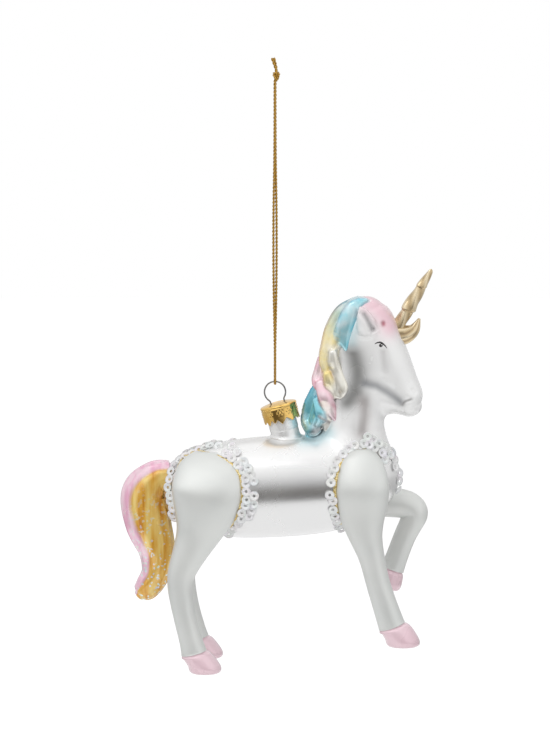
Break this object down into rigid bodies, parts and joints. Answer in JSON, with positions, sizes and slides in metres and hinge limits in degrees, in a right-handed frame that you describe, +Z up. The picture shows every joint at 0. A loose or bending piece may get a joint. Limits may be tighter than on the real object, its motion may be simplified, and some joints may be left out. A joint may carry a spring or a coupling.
{
  "type": "hanging unicorn ornament",
  "caption": "Blown-glass unicorn ornament with glued-on legs, hooves, tail and horn, sequin trim, a metal cap, a sprung wire ring and a gold cord loop to hang it by.",
  "frame": {"origin": "the point where the cord loop is hung up, just under its knot", "axes": "+X toward the unicorn's head, +Y toward its left side, +Z up as it hangs"},
  "size_m": [0.0995, 0.0366, 0.1943],
  "materials": {
    "silvered_glass": "silvered inside, satin lacquer outside, pastel mane",
    "gold_cap": "bright stamped sheet metal",
    "spring_wire": "drawn wire",
    "gold_cord": "twisted metallic thread",
    "gold_horn": "champagne gold lacquer",
    "tail_glass": "glossy pink and gold lacquer with glitter",
    "pearl_glass": "pearl white lacquer",
    "pink_glass": "pale pink lacquer",
    "sequin": "white iridescent film"
  },
  "bodies": {
    "cord": {"cord_loop": "gold_cord", "cord_knot": "gold_cord", "cord_ends": "gold_cord"},
    "hanger": {"wire_hanger": "spring_wire"},
    "cap": {"ornament_cap": "gold_cap"},
    "unicorn": {"glass_body": "silvered_glass", "horn": "gold_horn", "tail": "tail_glass", "hind_right_leg": "pearl_glass", "hind_right_hoof": "pink_glass", "hind_right_sequins": "sequin", "hind_left_leg": "pearl_glass", "hind_left_hoof": "pink_glass", "hind_left_sequins": "sequin", "front_right_leg": "pearl_glass", "front_right_hoof": "pink_glass", "front_right_sequins": "sequin", "front_left_leg": "pearl_glass", "front_left_hoof": "pink_glass", "front_left_sequins": "sequin"}
  },
  "joints": [
    {"name": "cord_swing", "type": "hinge", "parent": "cord", "child": "hanger", "pos_m": [0, 0, -0.0948], "axis": [1, 0, 0], "range_deg": [-90, 90]},
    {"name": "hanger_travel", "type": "slide", "parent": "hanger", "child": "cap", "axis": [-0.2419, 0, 0.9703], "range_m": [-0.004, 0]},
    {"name": "cap_pull", "type": "slide", "parent": "cap", "child": "unicorn", "axis": [-0.2419, 0, 0.9703], "range_m": [-0.02, 0]}
  ]
}
